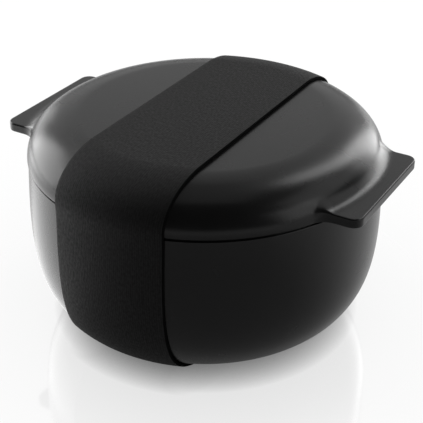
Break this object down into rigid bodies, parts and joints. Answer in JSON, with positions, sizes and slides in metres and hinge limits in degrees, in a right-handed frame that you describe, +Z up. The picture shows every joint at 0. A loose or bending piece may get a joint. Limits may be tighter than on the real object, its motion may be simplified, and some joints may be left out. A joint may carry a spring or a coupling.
{
  "type": "lunch box",
  "caption": "Round lunch box: a deep bowl and a flat-topped lid with lifting tabs, a steel food tray inside and a wide elastic band that holds it shut.",
  "frame": {"origin": "on the table, under the middle of the box", "axes": "+Z up, +X out through one lifting tab, the elastic band runs round the box in the YZ plane"},
  "size_m": [0.1708, 0.1574, 0.0965],
  "materials": {
    "black_plastic": "satin moulded black",
    "silicone": "soft matt grey",
    "steel": "pressed stainless steel with a fine spun brush",
    "elastic": "black woven elastic with fine lengthwise ribs"
  },
  "bodies": {
    "bowl": {"bowl": "black_plastic"},
    "tray": {"food_tray": "steel"},
    "lid": {"lid": "black_plastic", "lid_seal": "silicone"},
    "band_lower": {"band_lower": "elastic"},
    "band_sides": {"band_sides": "elastic"},
    "band_upper": {"band_upper": "elastic"}
  },
  "joints": [
    {"name": "tray_lift", "type": "slide", "parent": "bowl", "child": "tray", "axis": [0, 0, 1], "range_m": [0, 0.06]},
    {"name": "lid_lift", "type": "slide", "parent": "tray", "child": "lid", "axis": [0, 0, 1], "range_m": [0, 0.05]},
    {"name": "band_pull", "type": "slide", "parent": "bowl", "child": "band_lower", "axis": [1, 0, 0], "range_m": [-0.125, 0.125], "deforming": ["band_lower"]},
    {"name": "band_stretch_low", "type": "slide", "parent": "band_lower", "child": "band_sides", "axis": [0, 0, 1], "range_m": [0, 0.06], "deforming": ["band_sides"]},
    {"name": "band_stretch_high", "type": "slide", "parent": "band_sides", "child": "band_upper", "axis": [0, 0, 1], "range_m": [0, 0.05], "deforming": ["band_upper"]}
  ],
  "couplings": [
    {"joint": "band_stretch_low", "follows": "tray_lift", "ratio": 1},
    {"joint": "band_stretch_high", "follows": "lid_lift", "ratio": 1}
  ]
}
